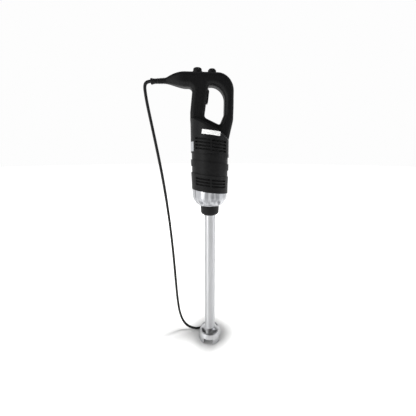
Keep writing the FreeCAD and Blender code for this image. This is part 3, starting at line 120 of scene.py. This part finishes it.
for name, place, aim, width, height, power, tint in (
        ("soft_box_left", (-1.3, -1.0, 0.75), (0, 0, 0.45), 0.5, 1.3, 7, "FFFFFF"),
        ("soft_box_right", (1.35, -0.35, 0.9), (0, 0, 0.45), 0.2, 1.3, 4, "F8FAFF"),
        ("soft_box_top", (0.1, 0.5, 2.3), (0, 0, 0.3), 1.5, 1.2, 2, "FFFFFF"),
        ("overhead_lamp", (0.0, -0.03, 2.2), (0, 0, 0), 0.16, 0.16, 60, "FFFFFF"),
        ("soft_box_rear", (0.9, 1.7, 1.2), (0, 0, 0.4), 0.8, 1.4, 8, "FFFFFF")):
    bpy.ops.object.light_add(type="AREA", location=place)
    lamp = bpy.context.object
    lamp.name = name
    lamp.data.shape = "RECTANGLE"
    lamp.data.size = width
    lamp.data.size_y = height
    lamp.data.energy = power
    lamp.data.color = linear(tint)[:3]
    lamp.visible_glossy = name != "overhead_lamp"
    lamp.rotation_euler = (Vector(aim) - Vector(place)).to_track_quat("-Z", "Y").to_euler()
bpy.context.scene.view_settings.view_transform = "Standard"
room = bpy.context.scene.world or bpy.data.worlds.new("studio_room")
bpy.context.scene.world = room
room.use_nodes = True
tree = room.node_tree
way = put(tree, "SeparateXYZ", {0: put(tree, "TexCoord").outputs["Generated"]})
back = put(tree, "Math", {0: way.outputs["Y"], 1: 0.8}, operation="MULTIPLY")
slant = put(tree, "Math", {0: way.outputs["X"], 1: -0.8, 2: back.outputs[0]}, operation="MULTIPLY_ADD")
depth = put(tree, "MapRange", {"Value": slant.outputs[0], "From Min": -0.5, "From Max": -0.02,
                               "To Min": 0.16, "To Max": 1.0}, interpolation_type="SMOOTHSTEP")
sky = tree.nodes["Background"]
sky.inputs["Color"].default_value = linear("FDFDFD")
ceiling = put(tree, "MapRange", {"Value": way.outputs["Z"], "From Min": 0.55, "From Max": 0.78,
                                 "To Min": 1.0, "To Max": 0.08}, interpolation_type="SMOOTHSTEP")
strength = put(tree, "Math", {0: depth.outputs[0], 1: ceiling.outputs[0]}, operation="MULTIPLY")
tree.links.new(strength.outputs[0], sky.inputs["Strength"])


# ---- mains lead ----
# Round 7 mm rubber-sheathed flex, 1.8 m of it. It hangs from the handle's boot to the floor and
# its spare length is folded to and fro behind the guard and tied.
ROUTE = [(-0.13395, 0, 0.70775), (-0.142, 0, 0.7073), (-0.1483, 0.0002, 0.700), (-0.1479, 0.0006, 0.684),
         (-0.1448, 0.0015, 0.657), (-0.1385, 0.003, 0.617), (-0.1295, 0.006, 0.558), (-0.1185, 0.010, 0.478),
         (-0.1095, 0.014, 0.384), (-0.1035, 0.018, 0.288), (-0.100, 0.021, 0.196), (-0.0975, 0.024, 0.122),
         (-0.0925, 0.027, 0.066), (-0.080, 0.029, 0.027), (-0.059, 0.029, 0.007), (-0.0305, 0.0264, 0.0037),
         (-0.0041, 0.0494, 0.0037)]
HANK_TURN = Matrix.Rotation(math.radians(-4), 3, "Z")
NEAR, FAR, WAIST = 0.0465, 0.1515, 0.099
RUNS = [(-0.0014, 0.0046), (0.0080, 0.0046), (-0.0079, 0.0122), (0.0080, 0.0196), (-0.0078, 0.0194),
        (0.0078, 0.0120), (-0.0079, 0.0048), (0.0004, 0.0196), (0.0002, 0.0121)]
hank_route = []
for turn, (across, level) in enumerate(RUNS):
    outward = turn % 2 == 0
    first, last = (NEAR, FAR) if outward else (FAR, NEAR)
    step = 1 if outward else -1
    splay = 1.5 if outward else 1.12
    if turn:
        hank_route.append((across * splay, first + 0.0005 * turn * step, level))
        hank_route.append((across * 1.06, first + 0.013 * step, level))
    else:
        hank_route.append((across, first + 0.020, level))
    hank_route.append((across * 0.94, WAIST, level * 0.98 + 0.0002))
    if turn < len(RUNS) - 1:
        splay = 1.12 if outward else 1.5
        hank_route.append((across * 1.06, last - 0.013 * step, level))
        hank_route.append((across * splay, last - 0.0005 * turn * step, level))
hank_route += [(0.0, FAR + 0.004, 0.0119), (0.0, FAR + 0.0125, 0.0135), (0.0, FAR + 0.0135, 0.024),
               (0.0, FAR + 0.0125, 0.0345), (0.0, FAR + 0.003, 0.0362), (0.0, FAR - 0.004, 0.036)]
points = [Vector(spot) for spot in ROUTE] + [HANK_TURN @ Vector(spot) for spot in hank_route]
curve = bpy.data.curves.new("mains_lead", "CURVE")
curve.dimensions = "3D"
spline = curve.splines.new("NURBS")
spline.points.add(len(points) - 1)
for point, spot in zip(spline.points, points):
    point.co = (*spot, 1)
spline.order_u = 3
spline.use_endpoint_u = True
curve.resolution_u = 10
curve.bevel_depth = 0.0035
curve.bevel_resolution = 5
curve.use_fill_caps = True
lead = bpy.data.objects.new("mains_lead", curve)
bpy.context.scene.collection.objects.link(lead)
sheath, tree, shader = finish_of("rubber_sheath", "0E0E0F", roughness=0.48, IOR=1.45, Specular_IOR_Level=0.3)
where = put(tree, "TexCoord").outputs["Object"]
dust = put(tree, "TexNoise", {"Vector": where, "Scale": 300.0, "Detail": 3.0})
tree.links.new(put(tree, "MapRange", {"Value": dust.outputs["Fac"], "To Min": 0.42, "To Max": 0.58}).outputs[0],
               shader.inputs["Roughness"])
tree.links.new(put(tree, "Bump", {"Height": dust.outputs["Fac"], "Strength": 0.12, "Distance": 0.0002}).outputs[0],
               shader.inputs["Normal"])
dress(lead, sheath)
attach(lead, "motor_unit")
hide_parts("power_cord", "cord_hank")


# ---- black mouldings ----
# The motor head's shells, the collar nut and the small controls are moulded in black glass-filled
# nylon and ABS. Their tool was spark-eroded, which leaves a fine satin grain.
def spark_grain(tree, shader, low, high, grain_mm, depth):
    """Satin moulded skin: a fine grain in the bump, and slow patches in the gloss."""
    here = put(tree, "TexCoord").outputs["Object"]
    fine = put(tree, "TexNoise", {"Vector": here, "Scale": 1000 / grain_mm, "Detail": 2.0})
    slow = put(tree, "TexNoise", {"Vector": here, "Scale": 1000 / 45, "Detail": 4.0})
    gloss = put(tree, "MapRange", {"Value": slow.outputs["Fac"], "From Min": 0.3, "From Max": 0.7,
                                   "To Min": low, "To Max": high})
    bump = put(tree, "Bump", {"Height": fine.outputs["Fac"], "Strength": depth, "Distance": 0.0002})
    tree.links.new(gloss.outputs[0], shader.inputs["Roughness"])
    tree.links.new(bump.outputs[0], shader.inputs["Normal"])


satin_black, tree, shader = finish_of("satin_black_nylon", "0A0A0B", IOR=1.45, Specular_IOR_Level=0.2)
spark_grain(tree, shader, 0.44, 0.56, 0.8, 0.25)
control_black, tree, shader = finish_of("control_black_abs", "0A0A0B", IOR=1.45, Specular_IOR_Level=0.25)
spark_grain(tree, shader, 0.40, 0.5, 0.6, 0.15)
boot_rubber, tree, shader = finish_of("matt_black_rubber", "0D0D0E", IOR=1.45, Specular_IOR_Level=0.22)
spark_grain(tree, shader, 0.55, 0.68, 0.7, 0.3)


def soften(node, width):
    """Small rounded edges on a CAD node, as a moulded or machined piece has."""
    weld = node.modifiers.new("weld", "WELD")
    weld.merge_threshold = 0.00001
    edge = node.modifiers.new("edge", "BEVEL")
    edge.width = width
    edge.segments = 2
    edge.limit_method = "ANGLE"
    edge.angle_limit = math.radians(32)
    split = node.modifiers.new("split", "EDGE_SPLIT")
    split.split_angle = math.radians(31)


for name in ("front_shell", "rear_shell", "collar_nut"):
    dress(nodes[name], satin_black)
for name in ("lock_button", "trigger", "safety_switch", "trigger_switch", "suppression_capacitor",
             "cord_clamp", "cooling_fan", "hank_tie"):
    dress(nodes[name], control_black)
for name in ("lip_seal", "inner_lead"):
    dress(nodes[name], boot_rubber)
for name, width in (("collar_nut", 0.0006), ("lock_button", 0.0009), ("trigger", 0.0009), ("hank_tie", 0.0004)):
    soften(nodes[name], width)


# ---- strain relief boot ----
# A ribbed boot of soft PVC moulded onto the lead. It snaps into the nose of the two shells, and
# its ribs let it bend evenly. Its far end is a thicker bead.
def stacked_rings(name, profile, sides):
    """A round piece drawn up ring by ring from a disc: a list of (level, radius) pairs."""
    bpy.ops.object.select_all(action="DESELECT")
    level, radius = profile[0]
    bpy.ops.mesh.primitive_circle_add(vertices=sides, radius=radius, fill_type="NGON", location=(0, 0, level))
    piece = bpy.context.object
    piece.name = name
    piece.data.name = name
    bpy.ops.object.transform_apply(location=True, rotation=True, scale=True)
    bpy.ops.object.mode_set(mode="EDIT")
    bpy.ops.mesh.select_all(action="SELECT")
    for next_level, next_radius in profile[1:]:
        bpy.ops.mesh.extrude_region_move(TRANSFORM_OT_translate={"value": (0, 0, next_level - level)})
        ratio = next_radius / radius
        bpy.ops.transform.resize(value=(ratio, ratio, 1), center_override=(0, 0, next_level))
        level, radius = next_level, next_radius
    bpy.ops.mesh.select_all(action="SELECT")
    bpy.ops.mesh.normals_make_consistent(inside=False)
    bpy.ops.object.mode_set(mode="OBJECT")
    return piece


def settle(piece, place, material, body, angle=35):
    """Puts a finished piece in its place, applies the place to its mesh, and lets it ride."""
    bpy.ops.object.select_all(action="DESELECT")
    piece.select_set(True)
    bpy.context.view_layer.objects.active = piece
    piece.matrix_world = place
    bpy.ops.object.transform_apply(location=True, rotation=True, scale=True)
    bpy.ops.object.shade_smooth_by_angle(angle=math.radians(angle))
    dress(piece, material)
    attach(piece, body)


BOOT_RIBS, BOOT_PITCH, BOOT_DROOP = 7, 0.0034, math.radians(-93.1)
NOSE_TIP = (-0.0988, 0, 0.70965)
boot_profile = [(-0.0105, 0.0047), (-0.0002, 0.0047), (0.0002, 0.0060), (0.0012, 0.00635)]
for rib in range(BOOT_RIBS):
    start = 0.0032 + BOOT_PITCH * rib
    outer = 0.00625 - 0.00013 * rib
    boot_profile += [(start, outer), (start + 0.0003, outer - 0.0009), (start + 0.0012, outer - 0.0009),
                     (start + 0.0015, outer - 0.00002)]
boot_profile += [(0.0290, 0.0055), (0.0312, 0.0063), (0.0322, 0.0065), (0.0342, 0.0065), (0.0350, 0.0060),
                 (0.0352, 0.0052), (0.0352, 0.0037), (0.0340, 0.0036)]
boot = stacked_rings("ribbed_boot", boot_profile, 40)
settle(boot, Matrix.Translation(NOSE_TIP) @ Matrix.Rotation(BOOT_DROOP, 4, "Y"), boot_rubber,
       "motor_unit")
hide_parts("strain_relief_boot")


# ---- speed dial ----
# A small moulded knob pressed on the potentiometer's shaft, fluted for wet fingers, with a dished
# top. Its pointer line is a raised bar, painted white.
DIAL_SIDES, DIAL_FLUTE = 60, 0.93
low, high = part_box("speed_dial")
middle = (low + high) / 2
height = high.z - low.z
dial = stacked_rings("fluted_dial", [(0, 0.0090), (0.0004, 0.0098), (height * 0.3, 0.0100), (height * 0.78, 0.0097),
                                     (height - 0.0005, 0.0090), (height - 0.0001, 0.0083), (height - 0.0006, 0.0074),
                                     (height - 0.0008, 0.0020)], DIAL_SIDES)
bpy.ops.object.mode_set(mode="EDIT")
bpy.ops.mesh.select_mode(type="VERT")
bpy.ops.mesh.select_all(action="DESELECT")
bpy.ops.object.mode_set(mode="OBJECT")
for vertex in dial.data.vertices:
    turn = round(math.atan2(vertex.co.y, vertex.co.x) * DIAL_SIDES / math.tau) % 5
    vertex.select = turn in (0, 1) and math.hypot(vertex.co.x, vertex.co.y) > 0.0088
bpy.ops.object.mode_set(mode="EDIT")
bpy.ops.transform.resize(value=(DIAL_FLUTE, DIAL_FLUTE, 1), center_override=(0, 0, height / 2))
bpy.ops.object.mode_set(mode="OBJECT")
settle(dial, Matrix.Translation((middle.x, middle.y, low.z)), control_black, "dial", 28)
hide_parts("speed_dial")
pointer_paint, tree, shader = finish_of("pointer_paint", "E8E8E4", roughness=0.5)
here = put(tree, "TexCoord").outputs["Object"]
wear = put(tree, "TexNoise", {"Vector": here, "Scale": 900.0})
tree.links.new(put(tree, "MapRange", {"Value": wear.outputs["Fac"], "To Min": 0.4, "To Max": 0.6}).outputs[0],
               shader.inputs["Roughness"])
bpy.ops.object.select_all(action="DESELECT")
bpy.ops.mesh.primitive_cube_add(size=1, location=(0, 0, 0))
pointer = bpy.context.object
pointer.name = "dial_pointer"
bpy.ops.transform.resize(value=(0.0009, 0.0046, 0.0006))
bpy.ops.object.transform_apply(location=True, rotation=True, scale=True)
edge = pointer.modifiers.new("edge", "BEVEL")
edge.width = 0.0002
edge.segments = 2
bpy.ops.object.modifier_apply(modifier="edge")
settle(pointer, Matrix.Translation((middle.x, middle.y - 0.0044, high.z - 0.0007)), pointer_paint,
       "dial")


# ---- plug ----
# Two-pole moulded plug in black PVC on the lead's far end: a ribbed neck, a waisted grip with
# finger ridges and a flat face with two nickel-plated pins.
plug_profile = [(0.0, 0.0040)]
for rib in range(4):
    start = 0.0012 + 0.0030 * rib
    outer = 0.0052 + 0.0008 * rib
    plug_profile += [(start, outer), (start + 0.0012, outer), (start + 0.0015, outer - 0.0009),
                     (start + 0.0026, outer - 0.0009)]
plug_profile += [(0.0140, 0.0092), (0.0165, 0.0114), (0.0185, 0.0125), (0.0200, 0.0129)]
for ridge in range(5):
    start = 0.0212 + 0.0028 * ridge
    plug_profile += [(start, 0.0129), (start + 0.0005, 0.0122), (start + 0.0014, 0.0122), (start + 0.0019, 0.0129)]
plug_profile += [(0.0362, 0.0130), (0.0392, 0.0129), (0.0398, 0.0123), (0.0400, 0.0115), (0.0400, 0.0030)]
plug = stacked_rings("ribbed_plug", plug_profile, 48)
settle(plug, HANK_TURN.to_4x4() @ Matrix.Translation((0, 0.153, 0.036))
       @ Matrix.Rotation(math.radians(90), 4, "X"), control_black, "motor_unit")
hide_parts("plug_body")


# ---- vent screens, partly painted shade ----
# Two sleeves of fine black gauze line the barrel behind its rows of vents. They are partly painted shade: near-black
# sheets that keep the vents dark where the motor's inside would show. They also stand for a screen that keeps
# splashes and dust off the motor. They are woven polyamide, drawn with a 1.2 mm mesh, coarser than the real one.
WEAVE = 5200.0
# Near-black colour of the sleeves: painted shade inside the vents.
shade_gauze, tree, shader = finish_of("black_gauze_painted_shade", "060606", roughness=0.85, IOR=1.45)
here = put(tree, "SeparateXYZ", {0: put(tree, "TexCoord").outputs["Object"]})
level_wave = put(tree, "Math", {0: put(tree, "Math", {0: here.outputs["Z"], 1: WEAVE},
                                       operation="MULTIPLY").outputs[0]}, operation="SINE")
across_wave = put(tree, "Math", {0: put(tree, "Math", {0: here.outputs["X"], 1: WEAVE},
                                        operation="MULTIPLY").outputs[0]}, operation="SINE")
weave = put(tree, "Math", {0: level_wave.outputs[0], 1: across_wave.outputs[0]}, operation="MULTIPLY")
tree.links.new(put(tree, "Bump", {"Height": weave.outputs[0], "Strength": 0.6, "Distance": 0.0003}).outputs[0],
               shader.inputs["Normal"])
for name, low, high in (("lower_vent_shade_screen", 0.466, 0.5005), ("upper_vent_shade_screen", 0.550, 0.600)):
    bpy.ops.object.select_all(action="DESELECT")
    bpy.ops.mesh.primitive_cylinder_add(vertices=96, radius=0.04244, depth=high - low, end_fill_type="NOTHING",
                                        location=(0, 0, (low + high) / 2))
    screen = bpy.context.object
    screen.name = name
    bpy.ops.object.transform_apply(location=True, rotation=True, scale=True)
    bpy.ops.object.mode_set(mode="EDIT")
    bpy.ops.mesh.select_all(action="SELECT")
    if name == "upper_vent_shade_screen":
        bpy.ops.mesh.bisect(plane_co=(0, 0, 0.6), plane_no=(0.45, 0, 1), clear_outer=True)
    bpy.ops.object.mode_set(mode="OBJECT")
    wall = screen.modifiers.new("wall", "SOLIDIFY")
    wall.thickness = 0.00008
    wall.offset = -1
    bpy.ops.object.modifier_apply(modifier="wall")
    bpy.ops.object.shade_smooth_by_angle(angle=math.radians(40))
    dress(screen, shade_gauze)
    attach(screen, "motor_unit")


# ---- motor flange ----
# Die-cast aluminium bowl under the shells, tumbled and satin brushed. Broad soft vertical bands of light and dark
# are painted into its colour as painted reflections.
satin_cast, tree, shader = finish_of("satin_cast_aluminium", "A2A3A6", metallic=1.0, roughness=0.34)
here = put(tree, "TexCoord").outputs["Object"]
pits = put(tree, "TexNoise", {"Vector": here, "Scale": 900.0, "Detail": 3.0})
clouds = put(tree, "TexNoise", {"Vector": here, "Scale": 45.0, "Detail": 3.0})
tree.links.new(put(tree, "MapRange", {"Value": clouds.outputs["Fac"], "From Min": 0.3, "From Max": 0.7,
                                      "To Min": 0.28, "To Max": 0.4}).outputs[0], shader.inputs["Roughness"])
tree.links.new(put(tree, "Bump", {"Height": pits.outputs["Fac"], "Strength": 0.2, "Distance": 0.0002}).outputs[0],
               shader.inputs["Normal"])
# Painted reflection: vertical bands of light and dark in the base colour, stretched up the bowl.
upright = put(tree, "Mapping", {"Vector": here, "Scale": (130.0, 130.0, 9.0)})
painted_reflection_streaks = put(tree, "TexNoise", {"Vector": upright.outputs[0], "Scale": 1.0, "Detail": 3.0})
painted_reflection_tone = put(tree, "ValToRGB", {"Fac": painted_reflection_streaks.outputs["Fac"]})
painted_reflection_tone.color_ramp.elements[0].position = 0.36
painted_reflection_tone.color_ramp.elements[0].color = linear("858689")
painted_reflection_tone.color_ramp.elements[1].position = 0.62
painted_reflection_tone.color_ramp.elements[1].color = linear("BDBEC1")
tree.links.new(painted_reflection_tone.outputs["Color"], shader.inputs["Base Color"])
tree.links.new(put(tree, "Tangent", direction_type="RADIAL", axis="Z").outputs[0], shader.inputs["Tangent"])
shader.inputs["Anisotropic"].default_value = 0.8
shader.inputs["Anisotropic Rotation"].default_value = 0.25
for name in ("motor_flange", "bearing_bracket"):
    dress(nodes[name], satin_cast)


# ---- shaft and guard ----
# Drawn stainless tube with fine lengthwise brushing, pressed and welded into a cast stainless
# guard that is blasted and then polished on its edges.
brushed_tube, tree, shader = finish_of("brushed_stainless_tube", "C2C3C5", metallic=1.0, roughness=0.3)
here = put(tree, "TexCoord").outputs["Object"]
drawn = put(tree, "Mapping", {"Vector": here, "Scale": (1600.0, 1600.0, 14.0)})
lines = put(tree, "TexNoise", {"Vector": drawn.outputs[0], "Scale": 1.0, "Detail": 3.0})
tree.links.new(put(tree, "MapRange", {"Value": lines.outputs["Fac"], "From Min": 0.3, "From Max": 0.7,
                                      "To Min": 0.38, "To Max": 0.5}).outputs[0], shader.inputs["Roughness"])
tree.links.new(put(tree, "Bump", {"Height": lines.outputs["Fac"], "Strength": 0.15, "Distance": 0.0001}).outputs[0],
               shader.inputs["Normal"])
tree.links.new(put(tree, "Tangent", direction_type="RADIAL", axis="Z").outputs[0], shader.inputs["Tangent"])
shader.inputs["Anisotropic"].default_value = 0.9
shader.inputs["Anisotropic Rotation"].default_value = 0.25
dress(nodes["shaft_tube"], brushed_tube)
blasted_cast, tree, shader = finish_of("blasted_cast_stainless", "BFC0C2", metallic=1.0, roughness=0.38)
here = put(tree, "TexCoord").outputs["Object"]
peened = put(tree, "TexNoise", {"Vector": here, "Scale": 1100.0, "Detail": 2.0})
tree.links.new(put(tree, "MapRange", {"Value": peened.outputs["Fac"], "To Min": 0.28, "To Max": 0.5}).outputs[0],
               shader.inputs["Roughness"])
tree.links.new(put(tree, "Bump", {"Height": peened.outputs["Fac"], "Strength": 0.25, "Distance": 0.0002}).outputs[0],
               shader.inputs["Normal"])
tree.links.new(put(tree, "Tangent", direction_type="RADIAL", axis="Z").outputs[0], shader.inputs["Tangent"])
shader.inputs["Anisotropic"].default_value = 0.6
shader.inputs["Anisotropic Rotation"].default_value = 0.25
dress(nodes["blade_guard"], blasted_cast)
soften(nodes["blade_guard"], 0.0006)


# ---- turned and ground steel ----
# Shafts, bearings, screws, springs and pins: bright steel with the fine rings that turning leaves.
def turned_steel(name, colour, rough):
    """Bright steel with fine tool rings across the vertical axis."""
    made, tree, shader = finish_of(name, colour, metallic=1.0, roughness=rough)
    here = put(tree, "TexCoord").outputs["Object"]
    rings = put(tree, "Mapping", {"Vector": here, "Scale": (30.0, 30.0, 2500.0)})
    mark = put(tree, "TexNoise", {"Vector": rings.outputs[0], "Scale": 1.0, "Detail": 2.0})
    gloss = put(tree, "MapRange", {"Value": mark.outputs["Fac"], "To Min": rough - 0.08, "To Max": rough + 0.08})
    tree.links.new(gloss.outputs[0], shader.inputs["Roughness"])
    bump = put(tree, "Bump", {"Height": mark.outputs["Fac"], "Strength": 0.1, "Distance": 0.0001})
    tree.links.new(bump.outputs[0], shader.inputs["Normal"])
    return made


ground_steel = turned_steel("ground_steel", "B4B5B7", 0.25)
zinc_plate = turned_steel("zinc_plated_steel", "A9ACB2", 0.32)
polished_blade = turned_steel("polished_blade_steel", "C6C7C9", 0.16)
nickel_pins = turned_steel("nickel_plated_brass", "C8C4B8", 0.2)
for name in ("tube_head", "inner_drive_shaft", "upper_bearing", "lower_bearing", "armature_shaft", "trigger_pin"):
    dress(nodes[name], ground_steel)
for name in ("driven_dog", "drive_dog", "blade_washer", "blade_screw", "flange_screws", "shell_screws",
             "clamp_screws", "potentiometer", "dial_shaft", "lock_button_spring", "trigger_spring",
             "brush_springs", "motor_bolts"):
    dress(nodes[name], zinc_plate)
dress(nodes["blade"], polished_blade)
dress(nodes["plug_pins"], nickel_pins)


# ---- motor's inner materials, label and name film ----
# Lacquered laminations, varnished copper wire, a copper commutator, carbon brushes in brass holders,
# bronze and PTFE bushes and a green board. The foil label and the blank white film are stuck on.
def speckled(name, colour, other, metallic, rough, size_mm):
    """A base colour broken up by a second one in patches of a given size."""
    made, tree, shader = finish_of(name, colour, metallic=metallic, roughness=rough)
    here = put(tree, "TexCoord").outputs["Object"]
    patch = put(tree, "TexNoise", {"Vector": here, "Scale": 1000 / size_mm, "Detail": 3.0})
    blend = put(tree, "Mix", {0: patch.outputs["Fac"], 6: linear(colour), 7: linear(other)}, data_type="RGBA")
    tree.links.new(blend.outputs[2], shader.inputs["Base Color"])
    gloss = put(tree, "MapRange", {"Value": patch.outputs["Fac"], "To Min": rough - 0.07, "To Max": rough + 0.07})
    tree.links.new(gloss.outputs[0], shader.inputs["Roughness"])
    bump = put(tree, "Bump", {"Height": patch.outputs["Fac"], "Strength": 0.2, "Distance": 0.0002})
    tree.links.new(bump.outputs[0], shader.inputs["Normal"])
    return made


for node_names, name, colour, other, metallic, rough, size_mm in (
        (("stator_core", "armature_core"), "lacquered_lamination", "4A4B50", "37383C", 0.8, 0.45, 1.2),
        (("field_coils", "armature_windings"), "varnished_copper_wire", "9A4E22", "6E3515", 0.6, 0.35, 1.0),
        (("commutator",), "turned_copper", "B5714A", "9C5D39", 1.0, 0.25, 3.0),
        (("carbon_brushes",), "pressed_carbon", "242426", "1B1B1D", 0.0, 0.6, 0.6),
        (("brush_holders",), "folded_brass", "BFA45A", "A98E48", 1.0, 0.35, 5.0),
        (("upper_bush", "lower_bush"), "sintered_bronze", "8C6A3C", "74552D", 1.0, 0.5, 0.7),
        (("middle_bush", "terminal_block"), "white_ptfe", "E6E6E0", "DADAD2", 0.0, 0.4, 2.0),
        (("speed_control_board",), "green_solder_mask", "1D5A33", "174A2A", 0.0, 0.35, 2.0),
        (("rating_label",), "satin_label_foil", "C4C6C9", "B6B8BC", 0.9, 0.35, 2.0),
        (("name_badge",), "printed_white_film", "F3F3F2", "ECECEA", 0.0, 0.35, 6.0)):
    made = speckled(name, colour, other, metallic, rough, size_mm)
    for node_name in node_names:
        dress(nodes[node_name], made)
